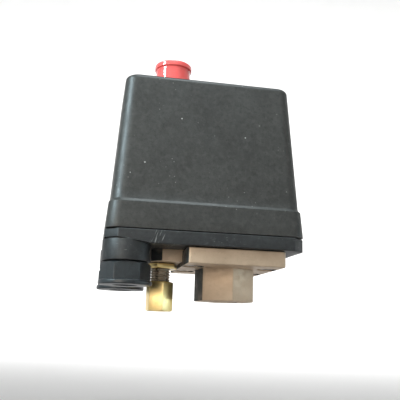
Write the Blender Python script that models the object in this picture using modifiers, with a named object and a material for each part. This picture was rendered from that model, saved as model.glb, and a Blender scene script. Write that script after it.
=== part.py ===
"""Pressure switch for a small air compressor, modelled as an assembly.

Metres, +Z up. The origin is the centre of the tank port's lower face, the port's axis is Z,
+X runs away from the cable glands and +Y runs to the rear gland.
"""

import math

import bmesh
import bpy
from mathutils import Matrix

MM = 0.001
GAP = 0.3  # clearance between neighbouring pieces, mm

# ---- driving dimensions, mm -------------------------------------------------------------
X_LEFT, X_RIGHT = -57.4, 30.6  # housing length 88
Y_HALF = 29.5  # housing width 59
BASE_Z0, BASE_FLOOR, BASE_Z1 = 22.0, 25.4, 27.8
BASE_CHAMFER, BASE_WALL = 5.5, 2.6
BAND_Z0, BAND_Z1, BAND_TAPER = 28.1, 39.9, 0.9
LEDGE = 0.8
COVER_TOP, DRAFT_X, DRAFT_Y = 100.4, 3.7, 5.0
COVER_WALL, CORNER_R = 2.2, 6.0

PORT_AF, PORT_TURN, PORT_H, PORT_BORE_R, PORT_BORE_DEPTH = 24.8, -25.5, 14.7, 5.8, 12.0
FLANGE_Z0, FLANGE_Z1 = 14.7, 21.7
FLANGE_X, FLANGE_Y = 22.0, 27.0
LUG_X0, LUG_X1, LUG_Y, LUG_Y1, LUG_Z0, LUG_Z1 = -38.5, -30.8, 12.0, 5.0, 16.6, 24.0
CHAMBER_R, CHAMBER_Z = 13.2, 18.2
FLANGE_SCREWS = [(-17.0, -13.0), (17.0, -13.0), (17.0, 13.0), (-17.0, 13.0)]

GLAND_X, GLAND_Y = -47.35, 19.0
BOSS_R, BOSS_Z0, BOSS_BORE_R = 10.6, 14.6, 6.5
GLAND_R, GLAND_Z0, GLAND_Z1, RIM_R, RIM_Z0 = 10.9, 6.4, 14.3, 11.5, 4.7

VALVE_X = -30.2
VALVE_HEX_R, VALVE_HEX_TURN, VALVE_HEX_Z0, VALVE_HEX_Z1 = 8.1, -107.5, 13.9, 16.1
THREAD_R, NUT_R, NUT_TURN, NUT_Z0, NUT_Z1 = 4.7, 6.41, -82.0, -5.3, 8.1
TUBE_R = 3.1

KNOB_X, KNOB_R, KNOB_LIP_R = -28.15, 8.4, 9.15
KNOB_Z0, KNOB_LIP_Z, KNOB_TOP = 98.2, 112.8, 115.5
KNOB_HOLE_R = 8.8

PLATE_Z0, PLATE_Z1 = 25.7, 27.3  # frame floor plate
CHEEK_Y0, CHEEK_Y1, BRIDGE_Z0, BRIDGE_Z1 = 17.4, 19.0, 60.4, 62.0
LEVER_Z0, LEVER_Z1, LEVER_PIVOT = 31.3, 33.3, (20.0, 36.0)
CARRIER_Z0, CARRIER_Z1, CARRIER_PIVOT = 45.0, 49.0, (0.0, 47.0)
RANGE_X, SEAT_Z0 = -14.0, 64.3
DIFF_X = 4.0
POST_X = 16.0
BLOCK_X0, BLOCK_X1, BLOCK_Y, BLOCK_Z1 = -51.0, -38.5, 15.0, 51.3
POLE_Y = (-11.4, -3.8, 3.8, 11.4)

# ---- scene ------------------------------------------------------------------------------
for old in list(bpy.data.objects):
    bpy.data.objects.remove(old, do_unlink=True)

PARTS = bpy.data.collections.new("pressure_switch")
TOOLS = bpy.data.collections.new("cutters")
for made in (PARTS, TOOLS):
    bpy.context.scene.collection.children.link(made)


def material(name, colour, roughness, metallic):
    made = bpy.data.materials.new(name)
    made.use_nodes = True
    shader = made.node_tree.nodes["Principled BSDF"]
    shader.inputs["Base Color"].default_value = (*colour, 1.0)
    shader.inputs["Roughness"].default_value = roughness
    shader.inputs["Metallic"].default_value = metallic
    return made


BLACK = material("black_plastic", (0.062, 0.064, 0.063), 0.55, 0.0)
RED = material("red_plastic", (0.72, 0.05, 0.05), 0.25, 0.0)
ZINC = material("cast_zinc", (0.42, 0.40, 0.37), 0.45, 0.9)
BRASS = material("brass", (0.66, 0.49, 0.17), 0.25, 1.0)
STEEL = material("plated_steel", (0.62, 0.60, 0.55), 0.35, 1.0)
SPRING = material("spring_steel", (0.30, 0.30, 0.31), 0.35, 1.0)
RUBBER = material("rubber", (0.02, 0.02, 0.02), 0.8, 0.0)
BAKELITE = material("phenolic", (0.10, 0.035, 0.02), 0.45, 0.0)
COPPER = material("contact_brass", (0.70, 0.45, 0.22), 0.3, 1.0)


def link(name, mesh, mat, tool=False):
    obj = bpy.data.objects.new(name, mesh)
    (TOOLS if tool else PARTS).objects.link(obj)
    if tool:
        obj.hide_render = True
        obj.display_type = "WIRE"
    elif mat is not None:
        mesh.materials.append(mat)
    return obj


def smooth(mesh):
    mesh.shade_smooth()
    mesh.set_sharp_from_angle(angle=math.radians(35))


def finish_bmesh(name, bm, mat, tool):
    bmesh.ops.recalc_face_normals(bm, faces=bm.faces)
    mesh = bpy.data.meshes.new(name)
    bm.to_mesh(mesh)
    bm.free()
    smooth(mesh)
    return link(name, mesh, mat, tool)


def box(name, x, y, z, mat=None, tool=False):
    """A block between pairs of limits, mm."""
    bm = bmesh.new()
    bmesh.ops.create_cube(bm, size=1.0)
    size = [(b - a) * MM for a, b in (x, y, z)]
    mid = [(a + b) / 2 * MM for a, b in (x, y, z)]
    bmesh.ops.scale(bm, vec=size, verts=bm.verts)
    bmesh.ops.translate(bm, vec=mid, verts=bm.verts)
    return finish_bmesh(name, bm, mat, tool)


def rod(name, radius, z, at=(0.0, 0.0), sides=32, turn=0.0, mat=None, tool=False, top=None):
    """An upright cylinder, cone or prism between two heights, mm. A corner points along turn, degrees."""
    bm = bmesh.new()
    bmesh.ops.create_cone(
        bm, cap_ends=True, segments=sides, radius1=radius * MM,
        radius2=(radius if top is None else top) * MM, depth=(z[1] - z[0]) * MM,
    )
    bm.verts.ensure_lookup_table()
    angle = math.radians(turn) - math.atan2(bm.verts[0].co.y, bm.verts[0].co.x)
    bmesh.ops.rotate(bm, cent=(0, 0, 0), matrix=Matrix.Rotation(angle, 3, "Z"), verts=bm.verts)
    bmesh.ops.translate(bm, vec=(at[0] * MM, at[1] * MM, (z[0] + z[1]) / 2 * MM), verts=bm.verts)
    return finish_bmesh(name, bm, mat, tool)


def pin(name, radius, y, at, sides=16, mat=None, tool=False):
    """A cylinder along Y at (x, z), mm."""
    bm = bmesh.new()
    bmesh.ops.create_cone(bm, cap_ends=True, segments=sides, radius1=radius * MM, radius2=radius * MM, depth=(y[1] - y[0]) * MM)
    bmesh.ops.rotate(bm, cent=(0, 0, 0), matrix=Matrix.Rotation(math.pi / 2, 3, "X"), verts=bm.verts)
    bmesh.ops.translate(bm, vec=(at[0] * MM, (y[0] + y[1]) / 2 * MM, at[1] * MM), verts=bm.verts)
    return finish_bmesh(name, bm, mat, tool)


def turned(name, profile, at=(0.0, 0.0), sides=32, mat=None, tool=False, closed=False):
    """A turned shape. The profile holds (radius, z) in mm, down the outer side first."""
    mesh = bpy.data.meshes.new(name)
    count = len(profile)
    edges = [(i, i + 1) for i in range(count - 1)] + ([(count - 1, 0)] if closed else [])
    mesh.from_pydata([(r * MM, 0.0, z * MM) for r, z in profile], edges, [])
    obj = link(name, mesh, mat, tool)
    obj.location = (at[0] * MM, at[1] * MM, 0.0)
    screw = obj.modifiers.new("turn", "SCREW")
    screw.steps = screw.render_steps = sides
    screw.use_merge_vertices = True
    screw.merge_threshold = 0.00001
    screw.use_smooth_shade = True
    return obj


def plate(name, outline, z, mat=None, tool=False):
    """A flat outline in mm, between two heights."""
    curve = bpy.data.curves.new(name + "_outline", "CURVE")
    curve.dimensions = "2D"
    curve.fill_mode = "BOTH"
    curve.extrude = (z[1] - z[0]) / 2 * MM
    spline = curve.splines.new("POLY")
    spline.points.add(len(outline) - 1)
    for point, (x, y) in zip(spline.points, outline):
        point.co = (x * MM, y * MM, 0.0, 1.0)
    spline.use_cyclic_u = True
    guide = bpy.data.objects.new(name + "_outline", curve)
    guide.location.z = (z[0] + z[1]) / 2 * MM
    TOOLS.objects.link(guide)
    bpy.context.view_layer.update()
    mesh = bpy.data.meshes.new_from_object(guide.evaluated_get(bpy.context.evaluated_depsgraph_get()))
    mesh.transform(guide.matrix_world)
    bpy.data.objects.remove(guide, do_unlink=True)
    bm = bmesh.new()
    bm.from_mesh(mesh)
    bmesh.ops.remove_doubles(bm, verts=bm.verts, dist=0.000002)
    return finish_bmesh(name, bm, mat, tool)


def rounded(x, y, radius, steps=6):
    """A rectangle with round corners, mm, anticlockwise."""
    points = []
    for cx, cy, start in (
        (x[1] - radius, y[1] - radius, 0), (x[0] + radius, y[1] - radius, 90),
        (x[0] + radius, y[0] + radius, 180), (x[1] - radius, y[0] + radius, 270),
    ):
        for i in range(steps + 1):
            a = math.radians(start + 90 * i / steps)
            points.append((cx + radius * math.cos(a), cy + radius * math.sin(a)))
    return points


def chamfered(x, y, cut):
    return [
        (x[0] + cut, y[0]), (x[1] - cut, y[0]), (x[1], y[0] + cut), (x[1], y[1] - cut),
        (x[1] - cut, y[1]), (x[0] + cut, y[1]), (x[0], y[1] - cut), (x[0], y[0] + cut),
    ]


def loft(name, sections, mat=None, tool=False):
    """A closed solid through sections of equal point count: (outline, z), bottom to top."""
    bm = bmesh.new()
    rings = [[bm.verts.new((x * MM, y * MM, z * MM)) for x, y in outline] for outline, z in sections]
    for low, high in zip(rings, rings[1:]):
        for i in range(len(low)):
            j = (i + 1) % len(low)
            bm.faces.new((low[i], low[j], high[j], high[i]))
    bm.faces.new(list(reversed(rings[0])))
    bm.faces.new(rings[-1])
    return finish_bmesh(name, bm, mat, tool)


def coil(name, radius, wire, z, turns, per_turn, at, mat, resolution=1, flat=0.0):
    """A helical compression spring with closed ends: z spans the wire's outside, mm."""
    curve = bpy.data.curves.new(name, "CURVE")
    curve.dimensions = "3D"
    curve.bevel_depth = wire / 2 * MM
    curve.bevel_resolution = resolution
    curve.use_fill_caps = True
    steps = int(turns * per_turn)
    low, high = z[0] + wire / 2, z[1] - wire / 2
    spline = curve.splines.new("POLY")
    spline.points.add(steps)
    for i, point in enumerate(spline.points):
        t = i / steps
        # the pitch is small at both ends, where the coils close up
        s = t + flat * math.sin(2 * math.pi * t) / (2 * math.pi) * -1.0
        a = 2 * math.pi * turns * t
        point.co = (radius * math.cos(a) * MM, radius * math.sin(a) * MM, (low + (high - low) * s) * MM, 1.0)
    obj = bpy.data.objects.new(name, curve)
    obj.location = (at[0] * MM, at[1] * MM, 0.0)
    curve.materials.append(mat)
    PARTS.objects.link(obj)
    return obj


def combine(obj, others, operation):
    for other in others:
        made = obj.modifiers.new(operation.lower() + "_" + other.name, "BOOLEAN")
        made.operation = operation
        made.solver = "EXACT"
        made.object = other
    return obj


def cut(obj, *tools):
    return combine(obj, tools, "DIFFERENCE")


def join(obj, *tools):
    return combine(obj, tools, "UNION")


def bevel(obj, width, segments=2, angle=40):
    made = obj.modifiers.new("soften", "BEVEL")
    made.width = width * MM
    made.segments = segments
    made.limit_method = "ANGLE"
    made.angle_limit = math.radians(angle)
    return obj


def pan_screw(name, at, head_r, head_z, shank_r, shank_z, mat, slot=True):
    """A machine screw, head up. head_z and shank_z are (low, high)."""
    h0, h1 = head_z
    obj = turned(
        name,
        [(0, h1), (head_r * 0.55, h1), (head_r * 0.92, h1 - (h1 - h0) * 0.4), (head_r, h0 + (h1 - h0) * 0.25), (head_r, h0),
         (shank_r, h0), (shank_r, shank_z + 0.4), (shank_r - 0.4, shank_z), (0, shank_z)],
        at, 12, mat,
    )
    if slot:
        c = box(name + "_slot", (at[0] - head_r * 1.2, at[0] + head_r * 1.2), (at[1] - 0.5, at[1] + 0.5), (h1 - (h1 - h0) * 0.45, h1 + 1), tool=True)
        cut(obj, c)
    return obj


# ---- tank port and flange ---------------------------------------------------------------
flange = plate("flange_port", rounded((-FLANGE_X, FLANGE_X), (-FLANGE_Y, FLANGE_Y), 1.6, 3), (FLANGE_Z0, FLANGE_Z1), ZINC)
bevel(flange, 0.5, 1)
lug = [(-FLANGE_X + 1.5, LUG_Y), (LUG_X1, LUG_Y), (LUG_X0, LUG_Y1), (LUG_X0, -LUG_Y1), (LUG_X1, -LUG_Y), (-FLANGE_X + 1.5, -LUG_Y)]
join(
    flange,
    plate("valve_lug", lug, (LUG_Z0, LUG_Z1), tool=True),
    rod("port_hex", PORT_AF / math.sqrt(3), (0.0, PORT_H + 1.0), sides=6, turn=PORT_TURN, tool=True),
)
cut(
    flange,
    rod("port_bore", PORT_BORE_R, (-1.0, PORT_BORE_DEPTH), sides=24, tool=True),
    rod("port_mouth", PORT_BORE_R + 1.9, (-1.0, 1.3), sides=24, top=PORT_BORE_R - 0.5, tool=True),
    rod("port_channel", 3.0, (PORT_BORE_DEPTH - 1, CHAMBER_Z + 1), sides=16, tool=True),
    rod("chamber", CHAMBER_R, (CHAMBER_Z, FLANGE_Z1 + 1), sides=32, tool=True),
    rod("lug_bore", THREAD_R + 0.4, (FLANGE_Z0 - 1, LUG_Z1 + 1), (VALVE_X, 0), 20, tool=True),
    *[rod("flange_hole_%d" % i, 2.8, (FLANGE_Z0 - 1, FLANGE_Z1 + 1), at, 14, tool=True) for i, at in enumerate(FLANGE_SCREWS)],
    *[rod("flange_sink_%d" % i, 4.6, (FLANGE_Z0 - 1, FLANGE_Z0 + 3.4), at, 18, tool=True) for i, at in enumerate(FLANGE_SCREWS)],
)
for i, (x, y) in enumerate(FLANGE_SCREWS):
    screw = turned(
        "flange_screw_%d" % (i + 1),
        [(0, 30.6), (2.0, 30.6), (2.4, 30.2), (2.4, 18.1), (4.2, 18.1), (4.2, 15.6), (3.8, 15.2), (0, 15.2)],
        (x, y), 14, STEEL,
    )
    cut(screw, rod("flange_socket_%d" % i, 2.3, (14.0, 17.0), (x, y), 6, tool=True))

diaphragm = turned(
    "diaphragm",
    [(0, 19.5), (12.9, 19.5), (12.9, 18.5), (0, 18.5)],
    sides=32, mat=RUBBER,
)
turned(
    "piston",
    [(0, 31.0), (3.6, 31.0), (4.0, 30.6), (4.0, 23.9), (10.4, 23.9), (10.4, 20.6), (7.0, 20.6), (6.6, 19.8), (0, 19.8)],
    sides=24, mat=STEEL,
)

# ---- base -------------------------------------------------------------------------------
base = plate("base", chamfered((X_LEFT, X_RIGHT), (-Y_HALF, Y_HALF), BASE_CHAMFER), (BASE_Z0, BASE_Z1), BLACK)
bevel(base, 0.5, 1, 30)
# the underside rises towards the two gland corners; a narrower neck carries each boss there
for n, s in (("front", -1), ("rear", 1)):
    cut(base, turned("corner_rise_" + n, [(0, 24.2), (5.0, 24.2), (20.0, 22.05), (21.5, 21.0), (0, 21.0)], (X_LEFT, s * Y_HALF), 40, tool=True))
    join(
        base,
        rod("gland_boss_" + n, BOSS_R, (BOSS_Z0, BASE_Z0 + 1.5), (GLAND_X, s * GLAND_Y), 32, tool=True),
        rod("gland_neck_" + n, BOSS_R - 0.6, (BASE_Z0 + 0.5, BASE_FLOOR - 0.5), (GLAND_X, s * GLAND_Y), 32, tool=True),
    )
lug_room = [(-FLANGE_X + 1.9, LUG_Y + 0.4), (LUG_X1 - 0.1, LUG_Y + 0.4), (LUG_X0 - 0.4, LUG_Y1 + 0.1), (LUG_X0 - 0.4, -LUG_Y1 - 0.1), (LUG_X1 - 0.1, -LUG_Y - 0.4), (-FLANGE_X + 1.9, -LUG_Y - 0.4)]
cut(
    base,
    plate("base_lug_room", lug_room, (BASE_Z0 - 1, LUG_Z1 + 0.4), tool=True),
    plate("base_pocket", chamfered((X_LEFT + BASE_WALL, X_RIGHT - BASE_WALL), (-Y_HALF + BASE_WALL, Y_HALF - BASE_WALL), BASE_CHAMFER - 1), (BASE_FLOOR, BASE_Z1 + 1), tool=True),
    rod("base_piston_bore", 11.0, (BASE_Z0 - 1, BASE_Z1), sides=28, tool=True),
    rod("base_valve_bore", THREAD_R + 0.4, (BASE_Z0 - 1, BASE_Z1), (VALVE_X, 0), 20, tool=True),
    *[rod("base_hole_%d" % i, 2.8, (BASE_Z0 - 1, BASE_Z1), at, 14, tool=True) for i, at in enumerate(FLANGE_SCREWS)],
    *[rod("boss_bore_%s" % n, BOSS_BORE_R, (BOSS_Z0 - 1, BASE_Z1), (GLAND_X, s * GLAND_Y), 24, tool=True) for n, s in (("front", -1), ("rear", 1))],
    *[rod("block_hole_%s" % n, 2.0, (BASE_Z0 - 1, BASE_Z1), (-44.5, s * 5.0), 16, tool=True) for n, s in (("front", -1), ("rear", 1))],
    *[rod("block_sink_%s" % n, 3.6, (BASE_Z0 - 1, BASE_Z0 + 2.2), (-44.5, s * 5.0), 20, tool=True) for n, s in (("front", -1), ("rear", 1))],
    rod("base_earth_hole", 2.0, (BASE_Z0 + 0.8, BASE_Z1), (-34.0, 13.5), 16, tool=True),
)

# ---- cable glands -----------------------------------------------------------------------
for n, s in (("front", -1), ("rear", 1)):
    at = (GLAND_X, s * GLAND_Y)
    nut = rod("gland_nut_" + n, GLAND_R, (GLAND_Z0, GLAND_Z1), at, 6, 0, BLACK)
    bevel(nut, 0.35, 1)
    join(
        nut,
        rod("gland_rim_" + n, RIM_R, (RIM_Z0, GLAND_Z0 + 0.3), at, 32, tool=True),
        rod("gland_spigot_" + n, 6.15, (GLAND_Z1 - 1, 18.4), at, 24, tool=True),
    )
    cut(nut, rod("gland_bore_" + n, 4.6, (RIM_Z0 - 1, 20), at, 20, tool=True), rod("gland_mouth_" + n, 6.4, (RIM_Z0 - 1, RIM_Z0 + 1.4), at, 20, top=4.2, tool=True))
    turned("gland_seal_" + n, [(6.15, 21.7), (6.15, 18.7), (4.2, 18.7), (4.2, 21.7)], at, 24, RUBBER, closed=True)

# ---- unloader valve ---------------------------------------------------------------------
valve_at = (VALVE_X, 0.0)
PITCH = 1.25
profile = [(0, 31.0), (4.3, 31.0), (THREAD_R, 30.6), (THREAD_R, 15.0)]
z = VALVE_HEX_Z0
profile += [(THREAD_R, z)]
z -= 0.7
while z > NUT_Z1 - 1.0:
    profile += [(THREAD_R - 0.55, z), (THREAD_R, z - PITCH * 0.4), (THREAD_R, z - PITCH * 0.55)]
    z -= PITCH
profile += [(THREAD_R - 0.55, z), (THREAD_R - 0.35, z - 0.5), (THREAD_R - 0.35, 2.2), (THREAD_R - 1.0, 1.5), (0, 1.5)]
valve = turned("valve_body", profile, valve_at, 20, BRASS)
join(valve, bevel(rod("valve_hex", VALVE_HEX_R, (VALVE_HEX_Z0, VALVE_HEX_Z1), valve_at, 6, VALVE_HEX_TURN, tool=True), 0.25, 1))
cut(valve, rod("tube_seat", TUBE_R, (0, 8.0), valve_at, 20, tool=True), rod("pin_bore", 1.8, (7.0, 32.0), valve_at, 14, tool=True))
nut = rod("valve_nut", 7.6, (PLATE_Z1 + GAP, 30.6), valve_at, 6, 0, STEEL)
bevel(nut, 0.3, 1)
cut(nut, rod("valve_nut_bore", THREAD_R + 0.3, (PLATE_Z1, 31), valve_at, 20, tool=True))
turned(
    "unloader_pin",
    [(0, 44.7), (1.0, 44.7), (1.5, 44.2), (1.5, 41.0), (3.8, 41.0), (3.8, 40.0), (1.5, 40.0), (1.5, 14.4), (0.9, 13.8), (0, 13.8)],
    valve_at, 14, STEEL,
)
coil("unloader_spring", 3.0, 0.7, (31.3, 39.7), 4, 9, valve_at, SPRING)
turned("tube_ferrule", [(3.8, 1.15), (4.1, 0.5), (4.1, -0.2), (3.6, -1.2), (3.25, -1.2), (3.25, 1.15)], valve_at, 18, BRASS, closed=True)
nut = rod("compression_nut", NUT_R, (NUT_Z0, NUT_Z1), valve_at, 6, NUT_TURN, BRASS)
trim = turned(
    "nut_corner_trim",
    [(9.0, NUT_Z1 + 2), (9.0, NUT_Z0 - 2), (NUT_R - 1.4, NUT_Z0 - 0.6), (NUT_R + 0.1, NUT_Z0 + 0.95), (NUT_R + 0.1, NUT_Z1 - 0.8), (NUT_R - 1.2, NUT_Z1 + 0.6)],
    valve_at, 24, tool=True, closed=True,
)
cut(
    nut,
    trim,
    rod("nut_thread", THREAD_R + 0.3, (-1.6, NUT_Z1 + 1), valve_at, 20, tool=True),
    rod("nut_tube_hole", TUBE_R + 0.05, (NUT_Z0 - 1, 0), valve_at, 20, tool=True),
)

# ---- frame ------------------------------------------------------------------------------
frame = box("frame", (-37.0, 24.6), (-CHEEK_Y1, CHEEK_Y1), (PLATE_Z0, PLATE_Z1), STEEL)
cheek = [(-12.0, PLATE_Z0 + 0.2), (24.4, PLATE_Z0 + 0.2), (24.4, BRIDGE_Z1 - 0.2), (0.0, BRIDGE_Z1 - 0.2), (-4.0, 54.0), (-12.0, 40.0)]
for n, s in (("front", -1), ("rear", 1)):
    c = plate("cheek_" + n, cheek, (-(CHEEK_Y1 - CHEEK_Y0) / 2 + 0.05, (CHEEK_Y1 - CHEEK_Y0) / 2 - 0.05), tool=True)
    c.data.transform(Matrix.Translation((0, s * (CHEEK_Y0 + CHEEK_Y1) / 2 * MM, 0)) @ Matrix.Rotation(math.pi / 2, 4, "X"))
    join(frame, c)
join(frame, box("frame_bridge", (0.3, 24.6), (-CHEEK_Y1, CHEEK_Y1), (BRIDGE_Z0, BRIDGE_Z1), tool=True))
cut(
    frame,
    rod("frame_piston_hole", 4.5, (PLATE_Z0 - 1, PLATE_Z1 + 1), sides=20, tool=True),
    rod("frame_valve_hole", THREAD_R + 0.4, (PLATE_Z0 - 1, PLATE_Z1 + 1), valve_at, 20, tool=True),
    *[rod("frame_hole_%d" % i, 2.7, (PLATE_Z0 - 1, PLATE_Z1 + 1), at, 14, tool=True) for i, at in enumerate(FLANGE_SCREWS)],
    rod("frame_earth_hole", 2.0, (PLATE_Z0 - 1, PLATE_Z1 + 1), (-34.0, 13.5), 16, tool=True),
    pin("frame_lever_bore", 2.1, (-25, 25), LEVER_PIVOT, tool=True),
    pin("frame_carrier_bore", 1.8, (-25, 25), CARRIER_PIVOT, tool=True),
    rod("frame_diff_hole", 2.3, (BRIDGE_Z0 - 1, BRIDGE_Z1 + 1), (DIFF_X, 0), 20, tool=True),
)
pan_screw("earth_screw", (-34.0, 13.5), 3.4, (PLATE_Z1 + GAP, 29.6), 1.7, 23.2, BRASS)

# ---- pressure lever ---------------------------------------------------------------------
lever = plate(
    "main_lever",
    [(-24.0, -15.5), (-15.5, -15.5), (-12.5, -11.5), (22.6, -11.5), (22.6, 11.5), (-12.5, 11.5), (-15.5, 15.5), (-24.0, 15.5)],
    (LEVER_Z0, LEVER_Z1), STEEL,
)
join(lever, pin("lever_barrel", 3.6, (-11.5, 11.5), (LEVER_PIVOT[0], LEVER_PIVOT[1]), tool=True))
cut(lever, pin("lever_bore", 2.1, (-14, 14), LEVER_PIVOT, tool=True), rod("lever_stud_hole", 4.4, (30, 35), (RANGE_X, 0), 24, tool=True))
pin("lever_pin", 1.8, (-20.4, 20.4), LEVER_PIVOT, mat=STEEL)

# ---- range adjustment -------------------------------------------------------------------
stud = turned("range_stud", [(0, 84.0), (2.4, 84.0), (3.0, 83.4), (3.0, 29.0), (0, 29.0)], (RANGE_X, 0), 16, STEEL)
join(stud, rod("stud_foot", 4.0, (PLATE_Z1 + GAP, 30.2), (RANGE_X, 0), 6, 0, tool=True))
coil("range_spring", 8.4, 2.3, (LEVER_Z1 + GAP, SEAT_Z0 - GAP), 6, 12, (RANGE_X, 0), SPRING, 2, 0.35)
turned("range_spring_seat", [(10.6, SEAT_Z0 + 2.0), (10.6, SEAT_Z0), (3.4, SEAT_Z0), (3.4, SEAT_Z0 + 2.0)], (RANGE_X, 0), 24, STEEL, closed=True)
nut = rod("range_nut", 7.5, (SEAT_Z0 + 2.3, SEAT_Z0 + 8.3), (RANGE_X, 0), 6, 15, STEEL)
bevel(nut, 0.4, 1)
cut(nut, rod("range_nut_bore", 3.3, (SEAT_Z0, SEAT_Z0 + 10), (RANGE_X, 0), 24, tool=True))

# ---- differential adjustment ------------------------------------------------------------
screw = turned("differential_screw", [(0, 63.5), (2.0, 63.5), (2.0, 37.0), (1.6, 36.6), (0, 36.6)], (DIFF_X, 0), 20, STEEL)
join(screw, bevel(rod("differential_head", 3.9, (BRIDGE_Z1 + GAP, 65.6), (DIFF_X, 0), 6, 0, tool=True), 0.3, 1))
coil("differential_spring", 4.2, 1.2, (LEVER_Z1 + GAP, 53.7), 5, 10, (DIFF_X, 0), SPRING, 1, 0.3)
turned("differential_seat", [(5.8, 55.4), (5.8, 54.0), (3.2, 54.0), (3.2, 53.0), (2.3, 53.0), (2.3, 55.4)], (DIFF_X, 0), 24, STEEL, closed=True)

# ---- contact carrier --------------------------------------------------------------------
carrier = plate(
    "contact_carrier",
    [(-37.3, -14.5), (3.0, -14.5), (3.0, -11.4), (-25.2, -11.4), (-25.2, 11.4), (3.0, 11.4), (3.0, 14.5), (-37.3, 14.5)],
    (CARRIER_Z0, CARRIER_Z1), BAKELITE,
)
join(carrier, *[pin("carrier_eye_" + n, 3.6, (min(s * 14.5, s * 11.4), max(s * 14.5, s * 11.4)), CARRIER_PIVOT, tool=True) for n, s in (("front", -1), ("rear", 1))])
cut(carrier, pin("carrier_bore", 1.8, (-16, 16), CARRIER_PIVOT, tool=True))
for n, s in (("front", -1), ("rear", 1)):
    pin("carrier_pin_" + n, 1.5, tuple(sorted((s * 10.6, s * 20.4))), CARRIER_PIVOT, mat=STEEL)
    coil("toggle_spring_" + n, 1.9, 0.6, (LEVER_Z1 + GAP, CARRIER_Z0 - GAP), 5, 8, (-20.0, s * 13.0), SPRING, 0)
    inner, outer = sorted((s * 2.4, s * 14.0))
    bridge = box("bridge_contact_" + n, (-37.0, -33.4), (inner, outer), (CARRIER_Z1 + GAP, 50.4), COPPER)
    join(bridge, *[rod("contact_button_%s_%d" % (n, k), 1.6, (50.0, 51.25), (-35.2, s * y), 16, tool=True) for k, y in enumerate((3.8, 11.4))])

# ---- terminal block ---------------------------------------------------------------------
block = box("terminal_block", (BLOCK_X0, BLOCK_X1), (-BLOCK_Y, BLOCK_Y), (PLATE_Z1 - 1.6, BLOCK_Z1), BAKELITE)
bevel(block, 0.5, 1)
join(block, *[box("barrier_%d" % k, (BLOCK_X0 + 0.5, BLOCK_X1 - 0.2), (y - 0.6, y + 0.6), (BLOCK_Z1 - 1, BLOCK_Z1 + 3.6), tool=True) for k, y in enumerate((-7.6, 0.0, 7.6))])
cut(
    block,
    *[rod("block_thread_%s" % n, 2.0, (20, 34.0), (-44.5, s * 5.0), 16, tool=True) for n, s in (("front", -1), ("rear", 1))],
    *[rod("terminal_thread_%d" % k, 1.9, (44.0, 60.0), (-45.6, y), 16, tool=True) for k, y in enumerate(POLE_Y)],
)
for k, y in enumerate(POLE_Y):
    strip = box("fixed_contact_%d" % (k + 1), (-49.6, -33.6), (y - 2.6, y + 2.6), (BLOCK_Z1 + GAP, BLOCK_Z1 + 1.5), COPPER)
    cut(strip, rod("strip_hole_%d" % k, 1.9, (50, 56), (-45.6, y), 16, tool=True))
    pan_screw("terminal_screw_%d" % (k + 1), (-45.6, y), 2.5, (BLOCK_Z1 + 1.8, BLOCK_Z1 + 3.8), 1.6, 45.0, STEEL)
for n, s in (("front", -1), ("rear", 1)):
    turned("block_screw_" + n, [(0, 33.0), (1.3, 33.0), (1.7, 32.6), (1.7, 23.9), (3.3, 23.9), (3.3, 22.6), (2.6, 22.1), (0, 22.1)], (-44.5, s * 5.0), 18, STEEL)

# ---- cover ------------------------------------------------------------------------------
def shell_section(z, inset_x, inset_y, radius):
    return rounded((X_LEFT + inset_x, X_RIGHT - inset_x), (-Y_HALF + inset_y, Y_HALF - inset_y), radius), z


def outside(z, shrink=0.0, radius=CORNER_R):
    """The cover's outer outline at a height."""
    if z <= BAND_Z1:
        inset = BAND_TAPER * (z - BAND_Z0) / (BAND_Z1 - BAND_Z0)
        return shell_section(z, inset + shrink, inset + shrink, radius)
    t = (z - BAND_Z1) / (COVER_TOP - BAND_Z1)
    start = BAND_TAPER + LEDGE
    return shell_section(z, start + DRAFT_X * t + shrink, start + DRAFT_Y * t + shrink, radius)


ROUND = 2.4  # edge round at the top
sections = [outside(BAND_Z0 + 0.0, 0.3, CORNER_R - 0.3), outside(BAND_Z0 + 0.3), outside(BAND_Z1 - 0.3), (outside(BAND_Z1, 0.3, CORNER_R - 0.3)[0], BAND_Z1), (outside(BAND_Z1 + 0.0001, 0.0)[0], BAND_Z1 + 0.05)]
for i in range(5):
    a = math.pi / 2 * i / 4
    rise, inward = ROUND * math.sin(a), ROUND * (1 - math.cos(a))
    z_here = COVER_TOP - ROUND + rise
    outline, _ = outside(COVER_TOP - ROUND, inward, CORNER_R - inward * 0.6)
    sections.append((outline, z_here))
cover = loft("cover", sections, BLACK)
W = COVER_WALL
hollow = [(outside(BAND_Z0, W, CORNER_R - W)[0], BAND_Z0 - 2), (outside(BAND_Z1 - 1, W, CORNER_R - W)[0], BAND_Z1 - 1), (outside(BAND_Z1 + 1, W, CORNER_R - W)[0], BAND_Z1 + 1), (outside(COVER_TOP - W - 1.5, W, CORNER_R - W)[0], COVER_TOP - W - 1.5), (outside(COVER_TOP - W, W + 1.2, CORNER_R - W)[0], COVER_TOP - W)]
cut(cover, loft("cover_hollow", hollow, tool=True))
join(cover, rod("cover_screw_boss", 7.0, (84.8, COVER_TOP - 1.0), (POST_X, 0), 24, tool=True))
cut(
    cover,
    rod("cover_screw_well", 4.9, (92.5, COVER_TOP + 1), (POST_X, 0), 24, tool=True),
    rod("cover_screw_hole", 2.4, (80, 94), (POST_X, 0), 14, tool=True),
    rod("cover_knob_hole", KNOB_HOLE_R, (COVER_TOP - 6, COVER_TOP + 1), (KNOB_X, 0), 36, tool=True),
)
pan_screw("cover_screw", (POST_X, 0), 4.2, (92.8, 96.0), 2.0, 72.0, STEEL)
post = rod("cover_post", 4.6, (BRIDGE_Z1 + GAP, 84.4), (POST_X, 0), 6, 30, STEEL)
bevel(post, 0.3, 1)
cut(post, rod("cover_post_thread", 2.3, (70.0, 86.0), (POST_X, 0), 20, tool=True))

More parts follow.
